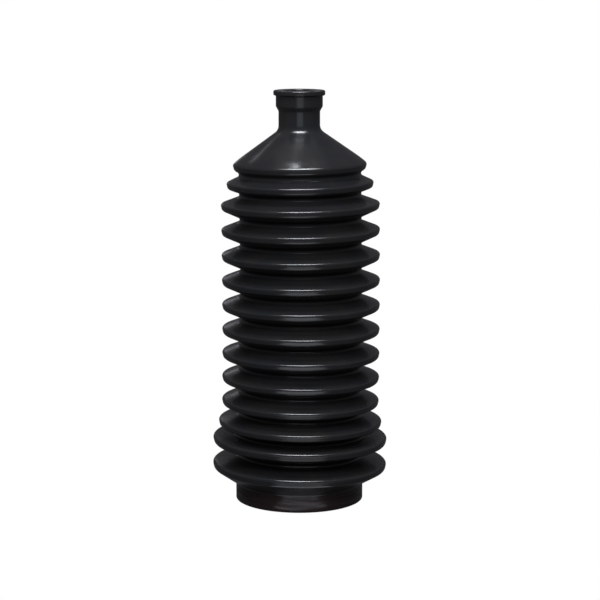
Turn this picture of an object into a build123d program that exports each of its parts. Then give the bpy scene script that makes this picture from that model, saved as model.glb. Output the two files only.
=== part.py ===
from build123d import *
from typing import NamedTuple
import math
import os

# Rubber bellows boot of a steering rack, in millimetres: one moulding, revolved about Z.
# The origin is the centre of the large mouth, and +Z runs up the tie rod,
# from the cuff that clamps on the rack housing to the neck that grips the rod.

# Cuff: a plain band at the large end, with its mouth downwards
cuff_bore_diameter = 47.8
cuff_wall = 2.6
cuff_height = 6.9
cuff_edge_radius = 0.4
cuff_root_radius = 0.8

# Folds: thin rubber of one wall, with a round root between each two crests
fold_wall = 1.4
crest_inside_radius = 0.3
root_outside_radius = 1.3
root_diameter = 50.2

# Nose of each crest: a short face under the crest's top edge, leaning in to a rounder bottom edge.
# Each edge is rounder than the bend inside by its cover, and centred above or below that bend.
nose_top_cover = 0.6
nose_top_rise = 0.45
nose_bottom_cover = 0.95
nose_bottom_drop = 0.4
nose_lean = 0.2

# Flare: the two widest folds, over the cuff, with the flatter flank on top
flare_crest_diameter = 72.4
flare_crest_inside_radius = 0.5
flare_rise = 7.6
flare_pitch = 10.8
flare_root_drop = 0.9

# Step: one narrower and shallower fold between the flare and the body, sloped like the flare
step_crest_diameter = 67.8
step_root_diameter = 53.0
step_pitch = 7.3

# Body: the equal folds that take up the rod's travel
body_crest_diameter = 65.3
body_fold_count = 9
body_entry_pitch = 9.0
body_pitch = 10.2
body_root_drop = 0.25

# Shoulder: a smaller fold, then the fold that edges the cone, with the flatter flank underneath
shoulder_crest_diameter = 60.3
shoulder_pitch = 8.8
shoulder_root_rise = 0.4
cone_crest_diameter = 54.8
cone_crest_inside_radius = 0.8
cone_crest_pitch = 7.7
cone_rise = 16.4

# Neck: the small end, a sleeve with a thicker wall
neck_bore_diameter = 12.0
neck_wall = 2.5
neck_height = 5.8
neck_root_radius = 3.5
neck_mouth_radius = 0.5

# Collar and lip: the land for the small clamp, and the bead over it
collar_step = 1.1
collar_taper_height = 2.0
collar_height = 4.4
collar_edge_radius = 0.4
lip_step = 1.0
lip_height = 2.1
lip_edge_radius = 0.6

# Sizes that follow from those above
cuff_bore_radius = cuff_bore_diameter / 2
cuff_radius = cuff_bore_radius + cuff_wall
neck_bore_radius = neck_bore_diameter / 2
neck_radius = neck_bore_radius + neck_wall
collar_radius = neck_radius + collar_step
lip_radius = collar_radius + lip_step


class Fold(NamedTuple):
    """A fold and the root it stands on, which lies root_drop below the middle of its pitch."""

    root_diameter: float
    crest_diameter: float
    crest_inside_radius: float
    pitch: float
    root_drop: float


body_fold = Fold(root_diameter, body_crest_diameter, crest_inside_radius, body_pitch, body_root_drop)
shoulder_fold = Fold(
    root_diameter, shoulder_crest_diameter, crest_inside_radius, shoulder_pitch, -shoulder_root_rise
)

# What stands on the lowest crest, from below
FOLDS = [
    Fold(root_diameter, flare_crest_diameter, flare_crest_inside_radius, flare_pitch, flare_root_drop),
    Fold(step_root_diameter, step_crest_diameter, crest_inside_radius, step_pitch, flare_root_drop),
    body_fold._replace(pitch=body_entry_pitch),
    *[body_fold] * (body_fold_count - 1),
    shoulder_fold,
    shoulder_fold._replace(
        crest_diameter=cone_crest_diameter,
        crest_inside_radius=cone_crest_inside_radius,
        pitch=cone_crest_pitch,
    ),
]


class Arc(NamedTuple):
    """A rounding of one surface in the section, centred at (r, z).

    side is 1 at a root, where the centre lies outside the boot, and -1 at a crest.
    """

    r: float
    z: float
    radius: float
    side: int


class Bend(NamedTuple):
    """A root or a crest: the arcs of its outside and of its inside, each from below."""

    outside: list
    inside: list


def root(surface_radius, z, radius=root_outside_radius, wall=fold_wall):
    """The bend at a root whose outside surface comes in to surface_radius."""
    r = surface_radius + radius
    return Bend([Arc(r, z, radius, 1)], [Arc(r, z, radius + wall, 1)])


def crest(diameter, z, inside_radius):
    """The bend at a crest whose nose goes out to its diameter."""
    top_radius = inside_radius + nose_top_cover
    bottom_radius = inside_radius + nose_bottom_cover
    nose = [
        Arc(diameter / 2 - nose_lean - bottom_radius, z - nose_bottom_drop, bottom_radius, -1),
        Arc(diameter / 2 - top_radius, z + nose_top_rise, top_radius, -1),
    ]
    return Bend(nose, [Arc(diameter / 2 - fold_wall - inside_radius, z, inside_radius, -1)])


def all_bends():
    """Every bend from the top of the cuff to the foot of the neck."""
    z = cuff_height + flare_rise
    found = [
        root(cuff_radius, cuff_height, cuff_root_radius, cuff_wall),
        crest(flare_crest_diameter, z, flare_crest_inside_radius),
    ]
    for fold in FOLDS:
        found.append(root(fold.root_diameter / 2, z + fold.pitch / 2 - fold.root_drop))
        z += fold.pitch
        found.append(crest(fold.crest_diameter, z, fold.crest_inside_radius))
    found.append(root(neck_radius, z + cone_rise, neck_root_radius, neck_wall))
    return found


def at(r, z):
    """A point of the section, which lies in the XZ plane."""
    return (r, 0, z)


def wall_surface(arcs):
    """Edges of one surface of the wall: the arcs in turn, joined by straight runs tangent to both.

    The first arc is entered and the last is left going straight up.
    """
    headings = [math.pi / 2]
    for here, ahead in zip(arcs, arcs[1:]):
        spacing = math.hypot(ahead.r - here.r, ahead.z - here.z)
        lean = math.asin((here.side * here.radius - ahead.side * ahead.radius) / spacing)
        headings.append(math.atan2(ahead.z - here.z, ahead.r - here.r) - lean)
    headings.append(math.pi / 2)

    edges = []
    for (r, z, radius, side), enter, leave in zip(arcs, headings, headings[1:]):
        start, middle, end = (
            at(r - side * radius * math.sin(heading), z + side * radius * math.cos(heading))
            for heading in (enter, (enter + leave) / 2, leave)
        )
        if edges:
            edges.append(Line(edges[-1] @ 1, start))
        edges.append(ThreePointArc(start, middle, end))
    return edges


def cuff_end():
    """The cuff's band below the first flank, closed by its flat mouth."""
    return FilletPolyline(
        at(cuff_bore_radius, cuff_height),
        at(cuff_bore_radius, 0),
        at(cuff_radius, 0),
        at(cuff_radius, cuff_height),
        radius=cuff_edge_radius,
    )


def neck_end(foot):
    """The neck from its foot up, with the collar, the lip and the small mouth."""
    collar_foot = foot + neck_height
    collar_base = collar_foot + collar_taper_height
    lip_base = collar_base + collar_height
    top = lip_base + lip_height
    return FilletPolyline(
        at(neck_radius, foot),
        at(neck_radius, collar_foot),
        at(collar_radius, collar_base),
        at(collar_radius, lip_base),
        at(lip_radius, lip_base),
        at(lip_radius, top),
        at(neck_bore_radius, top),
        at(neck_bore_radius, foot),
        radius=[collar_edge_radius] * 3 + [lip_edge_radius] * 2 + [neck_mouth_radius],
    )


def bellows_boot():
    """The whole boot, revolved from the section of its wall."""
    bends = all_bends()
    outside = wall_surface([arc for bend in bends for arc in bend.outside])
    inside = wall_surface([arc for bend in bends for arc in bend.inside])
    ends = [cuff_end(), neck_end(foot=bends[-1].outside[-1].z)]
    section = make_face([edge for line in (*outside, *inside, *ends) for edge in line.edges()])
    return revolve(section, axis=Axis.Z)


os.makedirs("parts", exist_ok=True)
export_step(bellows_boot(), "parts/bellows_boot.step")
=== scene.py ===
import math

import bmesh
import bpy
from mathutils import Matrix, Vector


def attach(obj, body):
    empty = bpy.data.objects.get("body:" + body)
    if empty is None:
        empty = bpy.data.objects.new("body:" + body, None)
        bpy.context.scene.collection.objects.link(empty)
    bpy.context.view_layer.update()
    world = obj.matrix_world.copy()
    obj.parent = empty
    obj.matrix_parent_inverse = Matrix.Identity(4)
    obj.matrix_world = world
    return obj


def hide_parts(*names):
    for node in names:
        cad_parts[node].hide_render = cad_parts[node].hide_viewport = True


# The rubber bellows boot: one moulded piece that stands on its large mouth, with +Z up its axis.
# Its sizes are in millimetres, as in the CAD source. Those of the studio round it are in metres.
MM = 0.001

# Cuff
CUFF_BORE_RADIUS = 23.9
CUFF_WALL = 2.6
CUFF_HEIGHT = 6.9
CUFF_EDGE_RADIUS = 0.4
CUFF_ROOT_RADIUS = 0.8
CUFF_RADIUS = CUFF_BORE_RADIUS + CUFF_WALL

# Nose of each crest: a top edge and a rounder bottom edge. Each is rounder than the bend inside
# by its cover, and centred above or below that bend.
NOSE_TOP_COVER = 0.6
NOSE_TOP_RISE = 0.45
NOSE_BOTTOM_COVER = 0.95
NOSE_BOTTOM_DROP = 0.4
NOSE_LEAN = 0.2

# Folds
FOLD_WALL = 1.4
CREST_INSIDE_RADIUS = 0.3
ROOT_OUTSIDE_RADIUS = 1.3
ROOT_DIAMETER = 50.2

# Flare: the two widest folds, over the cuff
FLARE_CREST_DIAMETER = 72.4
FLARE_CREST_INSIDE_RADIUS = 0.5
FLARE_RISE = 7.6
FLARE_PITCH = 10.8
FLARE_ROOT_DROP = 0.9

# Step: one narrower fold between the flare and the body
STEP_CREST_DIAMETER = 67.8
STEP_ROOT_DIAMETER = 53.0
STEP_PITCH = 7.3

# Body: the equal folds
BODY_CREST_DIAMETER = 65.3
BODY_FOLD_COUNT = 9
BODY_ENTRY_PITCH = 9.0
BODY_PITCH = 10.2
BODY_ROOT_DROP = 0.25

# Shoulder: a smaller fold, then the fold that edges the cone
SHOULDER_CREST_DIAMETER = 60.3
SHOULDER_PITCH = 8.8
SHOULDER_ROOT_RISE = 0.4
CONE_CREST_DIAMETER = 54.8
CONE_CREST_INSIDE_RADIUS = 0.8
CONE_CREST_PITCH = 7.7
CONE_RISE = 16.4

# A fold is its root's diameter, its crest's diameter and inside radius, its pitch, and how far
# the root lies below the middle of that pitch
BODY_FOLD = (ROOT_DIAMETER, BODY_CREST_DIAMETER, CREST_INSIDE_RADIUS, BODY_PITCH, BODY_ROOT_DROP)

# What stands on the lowest crest, from below
FOLDS = [
    (ROOT_DIAMETER, FLARE_CREST_DIAMETER, FLARE_CREST_INSIDE_RADIUS, FLARE_PITCH, FLARE_ROOT_DROP),
    (STEP_ROOT_DIAMETER, STEP_CREST_DIAMETER, CREST_INSIDE_RADIUS, STEP_PITCH, FLARE_ROOT_DROP),
    (ROOT_DIAMETER, BODY_CREST_DIAMETER, CREST_INSIDE_RADIUS, BODY_ENTRY_PITCH, BODY_ROOT_DROP),
    *[BODY_FOLD] * (BODY_FOLD_COUNT - 1),
    (ROOT_DIAMETER, SHOULDER_CREST_DIAMETER, CREST_INSIDE_RADIUS, SHOULDER_PITCH, -SHOULDER_ROOT_RISE),
    (ROOT_DIAMETER, CONE_CREST_DIAMETER, CONE_CREST_INSIDE_RADIUS, CONE_CREST_PITCH, -SHOULDER_ROOT_RISE),
]

# Neck, with its collar and its lip
NECK_BORE_RADIUS = 6.0
NECK_WALL = 2.5
NECK_HEIGHT = 5.8
NECK_ROOT_RADIUS = 3.5
NECK_MOUTH_RADIUS = 0.5
COLLAR_STEP = 1.1
COLLAR_TAPER_HEIGHT = 2.0
COLLAR_HEIGHT = 4.4
COLLAR_EDGE_RADIUS = 0.4
LIP_STEP = 1.0
LIP_HEIGHT = 2.1
LIP_EDGE_RADIUS = 0.6
NECK_RADIUS = NECK_BORE_RADIUS + NECK_WALL
COLLAR_RADIUS = NECK_RADIUS + COLLAR_STEP
LIP_RADIUS = COLLAR_RADIUS + LIP_STEP

# The cone's edge hangs down a little. The droop grows outwards from one radius to the other, and it
# eases in with height, so that it leaves the folds below alone.
CONE_DROOP = 0.26
CONE_DROOP_START_RADIUS = 23.4
CONE_DROOP_END_RADIUS = 26.8
CONE_DROOP_START_HEIGHT = 139.3
CONE_DROOP_EASE = 1.6

# The soft folds aren't quite evenly spaced: between these heights they have sunk a little
SAG = 0.72
SAG_START = 38.4
SAG_END = 122.4

# The free boot isn't quite straight: between cuff and neck its axis bows to the right
BOW = 0.70
BOW_START = CUFF_HEIGHT
BOW_END = 154.4
BOW_EASE = 8.0

# How finely the surface is divided: the parts round the axis, the widest turn of one part of an arc,
# and the fewest parts of an arc
AROUND = 120
CREST_STEP = math.radians(11)
ROOT_STEP = math.radians(16)
INSIDE_STEP = math.radians(24)
EDGE_STEP = math.radians(18)
FEWEST_BEND_PARTS = 3
FEWEST_EDGE_PARTS = 2

# Where straight runs are cut, as fractions of their length. A run longer than LONG_RUN is the
# cone's, which is cut most where it droops.
OUTSIDE_FLANK_CUTS = (0.1, 0.5, 0.9)
INSIDE_FLANK_CUTS = (0.5,)
CONE_CUTS = (0.03, 0.06, 0.09, 0.12, 0.15, 0.18, 0.21, 0.26, 0.5, 0.9)
NECK_CUTS = (0.5,)
CUFF_CUTS = (0.1, 0.5, 0.9)
LONG_RUN = 15.0

# Rubber: its colours, the depths of its relief, and how far the look of the cuff takes to fade
COOL_BLACK = (0.0072, 0.0076, 0.0084, 1)
WARM_BLACK = (0.0102, 0.0094, 0.0092, 1)
CUFF_BLACK = (0.0105, 0.0066, 0.0070, 1)
WAVE_DEPTH = 0.12
SCUFF_DEPTH = 0.03
GRAIN_DEPTH = 0.008
CUFF_FADE = 0.6

# Studio: places and sizes in metres, and angles in degrees
MIDDLE = (0, 0, 0.08)
NECK_MIDDLE = (0, 0, 0.155)
LIGHT_COLOUR = (0.96, 0.99, 1.05)
ROOM_COLOUR = (0.07, 0.07, 0.076, 1)
MAIN_AZIMUTH = 1
MAIN_ELEVATION = 71
FLOOR_CARD_HEIGHT = 0.0005
FLOOR_REACH = 3
BACKDROP_RADIUS = 8
BACKDROP_SEGMENTS = 48
BACKDROP_RINGS = 24

# Camera: in front, a little above the boot and looking down on it
CAMERA_PLACE = (0.00029, -0.820, 0.2204)
CAMERA_TILT = math.radians(9.46)
FOCAL_PIXELS = 2007
FRAME_PIXELS = 600
SENSOR_WIDTH = 36.0


def root(surface_radius, z, radius=ROOT_OUTSIDE_RADIUS, wall=FOLD_WALL):
    """A bend whose outside surface comes in to surface_radius."""
    r = surface_radius + radius
    return [(r, z, radius, 1)], [(r, z, radius + wall, 1)]


def crest(diameter, z, inside_radius):
    """A bend with a blunt nose, whose outside surface goes out to its diameter."""
    top_radius = inside_radius + NOSE_TOP_COVER
    bottom_radius = inside_radius + NOSE_BOTTOM_COVER
    nose = [
        (diameter / 2 - NOSE_LEAN - bottom_radius, z - NOSE_BOTTOM_DROP, bottom_radius, -1),
        (diameter / 2 - top_radius, z + NOSE_TOP_RISE, top_radius, -1),
    ]
    return nose, [(diameter / 2 - FOLD_WALL - inside_radius, z, inside_radius, -1)]


def all_bends():
    """Every bend of the wall, from the cuff to the neck: the arcs of its outside and of its inside.

    An arc is (r, z, radius, side), where side is 1 at a root and -1 at a crest.
    """
    z = CUFF_HEIGHT + FLARE_RISE
    bends = [
        root(CUFF_RADIUS, CUFF_HEIGHT, CUFF_ROOT_RADIUS, CUFF_WALL),
        crest(FLARE_CREST_DIAMETER, z, FLARE_CREST_INSIDE_RADIUS),
    ]
    for root_diameter, crest_diameter, inside_radius, pitch, root_drop in FOLDS:
        bends.append(root(root_diameter / 2, z + pitch / 2 - root_drop))
        z += pitch
        bends.append(crest(crest_diameter, z, inside_radius))
    bends.append(root(NECK_RADIUS, z + CONE_RISE, NECK_ROOT_RADIUS, NECK_WALL))
    return bends


def cuts_between(start, end, fractions):
    """Points on a straight run, at fractions of its length."""
    return [(start[0] + (end[0] - start[0]) * f, start[1] + (end[1] - start[1]) * f) for f in fractions]


def wall_surface(arcs, crest_step, root_step, flank_cuts):
    """Points (r, z) up one surface of the wall: its arcs in turn, joined by tangent runs."""
    headings = [math.pi / 2]
    for (r, z, radius, side), (next_r, next_z, next_radius, next_side) in zip(arcs, arcs[1:]):
        spacing = math.hypot(next_r - r, next_z - z)
        lean = math.asin((side * radius - next_side * next_radius) / spacing)
        headings.append(math.atan2(next_z - z, next_r - r) - lean)
    headings.append(math.pi / 2)

    points = []
    for (r, z, radius, side), enter, leave in zip(arcs, headings, headings[1:]):
        step = root_step if side > 0 else crest_step
        count = max(FEWEST_BEND_PARTS, math.ceil(abs(leave - enter) / step))
        turns = [enter + (leave - enter) * k / count for k in range(count + 1)]
        arc = [(r - side * radius * math.sin(t), z + side * radius * math.cos(t)) for t in turns]
        if points:
            is_cone = math.dist(points[-1], arc[0]) > LONG_RUN
            points += cuts_between(points[-1], arc[0], CONE_CUTS if is_cone else flank_cuts)
        points += arc
    return points


def rounded_line(corners, radii, cuts):
    """Points (r, z) along a line whose inner corners are rounded, without its two end points."""
    points = []
    last = corners[0]
    for before, corner, after, radius in zip(corners, corners[1:], corners[2:], radii):
        here = Vector(corner)
        back = (Vector(before) - here).normalized()
        ahead = (Vector(after) - here).normalized()
        half = back.angle(ahead) / 2
        centre = here + (back + ahead).normalized() * radius / math.sin(half)
        reach = radius / math.tan(half)
        start = here + back * reach - centre
        end = here + ahead * reach - centre
        sweep = start.angle(end)
        count = max(FEWEST_EDGE_PARTS, math.ceil(sweep / EDGE_STEP))
        arc = []
        for k in range(count + 1):
            share = k / count
            from_start = start * math.sin(sweep * (1 - share))
            from_end = end * math.sin(sweep * share)
            arc.append(tuple(centre + (from_start + from_end) / math.sin(sweep)))
        points += cuts_between(last, arc[0], cuts) + arc
        last = arc[-1]
    return points + cuts_between(last, corners[-1], cuts)


def neck_end(foot):
    """The neck from its foot: up its outside, collar and lip, over the small mouth and down its bore."""
    collar_foot = foot + NECK_HEIGHT
    collar_base = collar_foot + COLLAR_TAPER_HEIGHT
    lip_base = collar_base + COLLAR_HEIGHT
    top = lip_base + LIP_HEIGHT
    corners = [
        (NECK_RADIUS, foot),
        (NECK_RADIUS, collar_foot),
        (COLLAR_RADIUS, collar_base),
        (COLLAR_RADIUS, lip_base),
        (LIP_RADIUS, lip_base),
        (LIP_RADIUS, top),
        (NECK_BORE_RADIUS, top),
        (NECK_BORE_RADIUS, foot),
    ]
    radii = [COLLAR_EDGE_RADIUS] * 3 + [LIP_EDGE_RADIUS] * 2 + [NECK_MOUTH_RADIUS]
    return rounded_line(corners, radii, NECK_CUTS)


def cuff_end():
    """The cuff below the first flank: down its bore, across its flat mouth and up its outside."""
    corners = [
        (CUFF_BORE_RADIUS, CUFF_HEIGHT),
        (CUFF_BORE_RADIUS, 0),
        (CUFF_RADIUS, 0),
        (CUFF_RADIUS, CUFF_HEIGHT),
    ]
    return rounded_line(corners, [CUFF_EDGE_RADIUS] * 2, CUFF_CUTS)


def section():
    """The closed section of the boot as points (r, z): up the outside and down the inside."""
    bends = all_bends()
    outside_arcs = [arc for outside, _ in bends for arc in outside]
    inside_arcs = [arc for _, inside in bends for arc in inside]
    _, foot, _, _ = outside_arcs[-1]
    outside_wall = wall_surface(outside_arcs, CREST_STEP, ROOT_STEP, OUTSIDE_FLANK_CUTS)
    inside_wall = wall_surface(inside_arcs, INSIDE_STEP, INSIDE_STEP, INSIDE_FLANK_CUTS)
    return outside_wall + neck_end(foot) + inside_wall[::-1] + cuff_end()


def eased(distance, reach):
    """0 below 0, 1 past reach, and smooth between."""
    share = min(1, max(0, distance / reach))
    return share * share * (3 - 2 * share)


def half_wave(z, start, end):
    """An angle that grows with z from 0 at start to a half turn at end, and is held beyond them."""
    return math.pi * min(1, max(0, (z - start) / (end - start)))


def settled(x, y, z):
    """Where a point of the straight, even boot lies on the soft one: drooped, sunk and then bowed."""
    droop_width = CONE_DROOP_END_RADIUS - CONE_DROOP_START_RADIUS
    share = max(0, math.hypot(x, y) - CONE_DROOP_START_RADIUS) / droop_width
    z -= CONE_DROOP * share ** 2 * eased(z - CONE_DROOP_START_HEIGHT, CONE_DROOP_EASE)
    z -= SAG * math.sin(half_wave(z, SAG_START, SAG_END))
    turn = half_wave(z, BOW_START, BOW_END)
    slope = BOW * math.pi / (BOW_END - BOW_START) * math.cos(turn)
    slope *= eased(z - BOW_START, BOW_EASE) * eased(BOW_END + BOW_EASE - z, BOW_EASE)
    return (x + BOW * math.sin(turn), y, z - x * slope)


def revolved_boot():
    """The boot's mesh: its section taken round the axis in quads, then settled."""
    points = section()
    turns = [math.tau * k / AROUND for k in range(AROUND)]
    places = [
        tuple(MM * c for c in settled(r * math.cos(turn), r * math.sin(turn), z))
        for r, z in points
        for turn in turns
    ]
    faces = []
    for ring in range(len(points)):
        low = ring * AROUND
        high = (ring + 1) % len(points) * AROUND
        for k in range(AROUND):
            after = (k + 1) % AROUND
            faces.append((low + k, low + after, high + after, high + k))
    mesh = bpy.data.meshes.new("moulded_boot")
    mesh.from_pydata(places, [], faces)
    mesh.shade_smooth()
    return mesh


def noise(tree, place, scale, detail, roughness, distortion=0.0, squeeze=(1, 1, 1)):
    """Noise over the boot. Its marks are squeezed along each axis, or drawn out by a squeeze under 1."""
    squeezed = tree.nodes.new("ShaderNodeMapping")
    squeezed.inputs["Scale"].default_value = squeeze
    tree.links.new(place, squeezed.inputs["Vector"])
    texture = tree.nodes.new("ShaderNodeTexNoise")
    texture.inputs["Scale"].default_value = scale
    texture.inputs["Detail"].default_value = detail
    texture.inputs["Roughness"].default_value = roughness
    texture.inputs["Distortion"].default_value = distortion
    tree.links.new(squeezed.outputs["Vector"], texture.inputs["Vector"])
    return texture.outputs["Fac"]


def remapped(tree, value, source, target):
    """A value moved from the range source to the range target, and held at the target's ends."""
    node = tree.nodes.new("ShaderNodeMapRange")
    names = ("From Min", "From Max", "To Min", "To Max")
    for name, number in zip(names, (*source, *target)):
        node.inputs[name].default_value = number
    tree.links.new(value, node.inputs["Value"])
    return node.outputs["Result"]


def combined(tree, operation, first, second):
    """Two values added or multiplied."""
    node = tree.nodes.new("ShaderNodeMath")
    node.operation = operation
    tree.links.new(first, node.inputs[0])
    tree.links.new(second, node.inputs[1])
    return node.outputs["Value"]


def cuff_share(tree, place):
    """1 on the cuff and 0 above it, with a short fade between."""
    levels = tree.nodes.new("ShaderNodeSeparateXYZ")
    tree.links.new(place, levels.inputs["Vector"])
    edge = CUFF_HEIGHT * MM
    fade = CUFF_FADE * MM
    return remapped(tree, levels.outputs["Z"], (edge - fade, edge + fade), (1, 0))


def rubber_colour(tree, patches, cuff):
    """Patches of a cool and a warm near black, and a browner one on the cuff."""
    tint = tree.nodes.new("ShaderNodeValToRGB")
    cool, warm = tint.color_ramp.elements
    cool.position = 0.36
    cool.color = COOL_BLACK
    warm.position = 0.66
    warm.color = WARM_BLACK
    tree.links.new(patches, tint.inputs["Fac"])
    browned = tree.nodes.new("ShaderNodeMix")
    browned.data_type = "RGBA"
    tree.links.new(cuff, browned.inputs["Factor"])
    tree.links.new(tint.outputs["Color"], browned.inputs["A"])
    browned.inputs["B"].default_value = CUFF_BLACK
    return browned.outputs["Result"]


def rubber_relief(tree, layers):
    """Bumps upon bumps. Each layer is a height, a strength and a depth in millimetres."""
    normal = None
    for height, strength, depth in layers:
        bump = tree.nodes.new("ShaderNodeBump")
        bump.inputs["Strength"].default_value = strength
        bump.inputs["Distance"].default_value = depth * MM
        tree.links.new(height, bump.inputs["Height"])
        if normal:
            tree.links.new(normal, bump.inputs["Normal"])
        normal = bump.outputs["Normal"]
    return normal


def black_rubber():
    """Moulded rubber: near black and satin, with uneven gloss, a fine grain and a little wear."""
    material = bpy.data.materials.new("black_rubber")
    material.use_nodes = True
    tree = material.node_tree
    shader = tree.nodes["Principled BSDF"]
    place = tree.nodes.new("ShaderNodeTexCoord").outputs["Object"]
    cuff = cuff_share(tree, place)

    patches = noise(tree, place, scale=48, detail=4, roughness=0.6, distortion=0.6)
    smears = noise(
        tree, place, scale=130, detail=3, roughness=0.55, distortion=0.3, squeeze=(0.35, 0.35, 1.6)
    )
    grain = noise(tree, place, scale=2400, detail=2, roughness=0.6)
    waves = noise(tree, place, scale=110, detail=2, roughness=0.5)
    streaks = noise(
        tree, place, scale=520, detail=3, roughness=0.7, distortion=0.2, squeeze=(0.08, 0.08, 1.3)
    )
    scuffs = combined(tree, "MULTIPLY", remapped(tree, streaks, (0.38, 0.64), (0, 1)), cuff)

    patchy = remapped(tree, patches, (0.3, 0.7), (0.15, 0.22))
    smeared = combined(tree, "ADD", patchy, remapped(tree, smears, (0.45, 0.75), (0, 0.06)))
    roughness = combined(tree, "ADD", smeared, remapped(tree, scuffs, (0.2, 0.9), (0, 0.12)))
    reflectance = remapped(tree, scuffs, (0, 1), (0.55, 0.15))
    layers = [(waves, 0.5, WAVE_DEPTH), (scuffs, 0.5, SCUFF_DEPTH), (grain, 0.25, GRAIN_DEPTH)]

    tree.links.new(rubber_colour(tree, patches, cuff), shader.inputs["Base Color"])
    tree.links.new(roughness, shader.inputs["Roughness"])
    tree.links.new(reflectance, shader.inputs["Specular IOR Level"])
    tree.links.new(rubber_relief(tree, layers), shader.inputs["Normal"])
    return material


def around(azimuth, elevation, distance):
    """A place at angles in degrees round the boot's middle. Azimuth 0 is the camera's side, 90 is +X."""
    turn = math.radians(azimuth)
    rise = math.radians(elevation)
    level = distance * math.cos(rise)
    offset = Vector((level * math.sin(turn), -level * math.cos(turn), distance * math.sin(rise)))
    return Vector(MIDDLE) + offset


def softbox(name, place, size, radiance, target=MIDDLE, mirrored=True):
    """An area light that faces its target, as bright as its radiance all over.

    One that isn't mirrored lights the rubber without a reflection in it.
    """
    width, height = size
    data = bpy.data.lights.new(name, "AREA")
    data.shape = "RECTANGLE"
    data.size = width
    data.size_y = height
    data.energy = math.pi * width * height * radiance
    data.color = LIGHT_COLOUR
    light = bpy.data.objects.new(name, data)
    light.location = place
    light.rotation_mode = "QUATERNION"
    light.rotation_quaternion = (Vector(place) - Vector(target)).to_track_quat("Z", "Y")
    light.visible_camera = False
    light.visible_glossy = mirrored
    bpy.context.scene.collection.objects.link(light)


def floor_card(name, x, y, size, radiance):
    """A bright patch of the floor, which faces up and which the boot mirrors."""
    softbox(name, (x, y, FLOOR_CARD_HEIGHT), size, radiance, target=(x, y, 1))


def lights():
    """Every light, with its place, its width and height, and its radiance."""
    # The main light, in front and high: the line of light on each crest
    main_core = around(MAIN_AZIMUTH, MAIN_ELEVATION, 0.60)
    main_edge = around(MAIN_AZIMUTH, MAIN_ELEVATION, 0.61)
    softbox("main_core", main_core, size=(0.24, 0.19), radiance=13.2)
    softbox("main_edge", main_edge, size=(0.44, 0.20), radiance=9.2)

    # In front and lower: the flanks of the folds
    softbox("fold_fill", around(0, 36, 0.70), size=(0.90, 0.30), radiance=9.6, mirrored=False)

    # Above: a dim sheen on the cone, and the wedge of light at its foot
    softbox("ceiling", around(180, 70, 0.8), size=(0.5, 0.5), radiance=0.10)
    softbox("overhead", around(236, 84.5, 0.8), size=(0.05, 0.08), radiance=19.0)

    # Close in front: the pale stripe up the neck
    neck_card = (0.007, -0.10, 0.150)
    softbox("neck_card", neck_card, size=(0.055, 0.024), radiance=0.6, target=NECK_MIDDLE)

    # Behind: glints on the left, the rim of the lip, and light on the back of the boot
    softbox("back_left_low", around(-167, 10, 0.6), size=(0.03, 0.05), radiance=0.8)
    softbox("back_left_high", around(-146, 41, 0.6), size=(0.04, 0.04), radiance=1.0)
    softbox("back_soft", around(180, 30, 0.70), size=(0.16, 0.07), radiance=3.2)
    softbox("back_fill", around(180, 32, 0.70), size=(0.90, 0.40), radiance=4.5, mirrored=False)

    # On the floor in front: the band under each crest and the sheen on the cuff
    floor_card("near_floor", 0.001, -0.038, size=(0.032, 0.020), radiance=0.85)
    floor_card("middle_floor", 0.002, -0.066, size=(0.050, 0.034), radiance=0.5)
    floor_card("far_floor", 0.003, -0.135, size=(0.12, 0.100), radiance=1.3)


def white_glow(name):
    """An even white that needs no light."""
    material = bpy.data.materials.new(name)
    material.use_nodes = True
    tree = material.node_tree
    tree.nodes.remove(tree.nodes["Principled BSDF"])
    emission = tree.nodes.new("ShaderNodeEmission")
    tree.links.new(emission.outputs["Emission"], tree.nodes["Material Output"].inputs["Surface"])
    return material


def stage_piece(name, mesh, material):
    """A piece of the studio that only the camera sees."""
    piece = bpy.data.objects.new(name, mesh)
    mesh.materials.append(material)
    bpy.context.scene.collection.objects.link(piece)
    piece.visible_diffuse = False
    piece.visible_glossy = False
    piece.visible_transmission = False
    piece.visible_shadow = False


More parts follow.
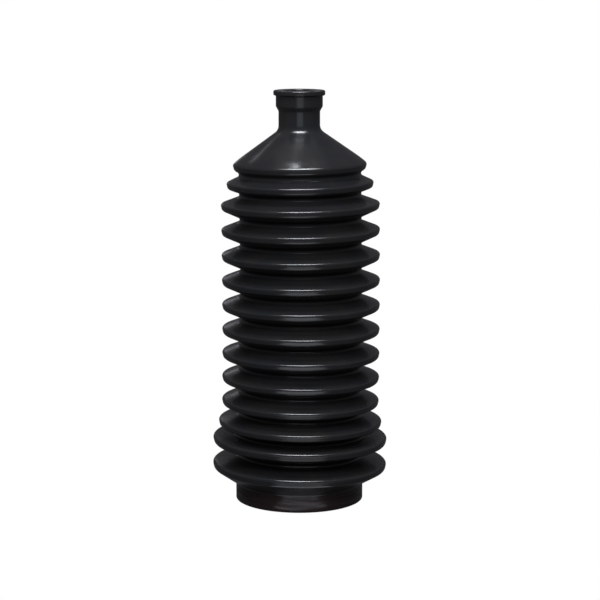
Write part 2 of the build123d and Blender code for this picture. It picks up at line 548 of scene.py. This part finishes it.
def floor():
    """The white floor that the boot stands on."""
    reach = FLOOR_REACH
    corners = [(-reach, -reach, 0), (reach, -reach, 0), (reach, reach, 0), (-reach, reach, 0)]
    mesh = bpy.data.meshes.new("floor")
    mesh.from_pydata(corners, [], [(0, 1, 2, 3)])
    stage_piece("floor", mesh, white_glow("pale_floor"))


def backdrop():
    """The white sphere all round."""
    sphere = bmesh.new()
    bmesh.ops.create_uvsphere(
        sphere, u_segments=BACKDROP_SEGMENTS, v_segments=BACKDROP_RINGS, radius=BACKDROP_RADIUS
    )
    mesh = bpy.data.meshes.new("backdrop")
    sphere.to_mesh(mesh)
    sphere.free()
    stage_piece("backdrop", mesh, white_glow("white_backdrop"))


def room():
    """The dim grey that lights the boot from every side."""
    world = bpy.data.worlds.new("studio")
    world.use_nodes = True
    world.node_tree.nodes["Background"].inputs["Color"].default_value = ROOM_COLOUR
    bpy.context.scene.world = world


def camera():
    """The camera, in front of the boot."""
    data = bpy.data.cameras.new("camera")
    data.sensor_width = SENSOR_WIDTH
    data.lens = SENSOR_WIDTH * FOCAL_PIXELS / FRAME_PIXELS
    eye = bpy.data.objects.new("camera", data)
    eye.location = CAMERA_PLACE
    eye.rotation_euler = (math.pi / 2 - CAMERA_TILT, 0, 0)
    bpy.context.scene.collection.objects.link(eye)
    bpy.context.scene.camera = eye


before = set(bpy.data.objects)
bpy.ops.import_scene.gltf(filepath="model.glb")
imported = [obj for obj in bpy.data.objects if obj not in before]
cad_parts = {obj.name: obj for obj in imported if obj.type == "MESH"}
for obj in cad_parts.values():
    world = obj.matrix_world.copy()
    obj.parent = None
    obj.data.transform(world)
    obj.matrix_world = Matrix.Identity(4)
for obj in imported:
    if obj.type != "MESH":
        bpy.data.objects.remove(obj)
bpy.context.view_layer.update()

boot = bpy.data.objects.new("moulded_bellows_boot", revolved_boot())
bpy.context.scene.collection.objects.link(boot)
boot.data.materials.append(black_rubber())
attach(boot, "root")
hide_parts("bellows_boot")

room()
floor()
backdrop()
lights()
camera()
bpy.context.scene.view_settings.view_transform = "Standard"
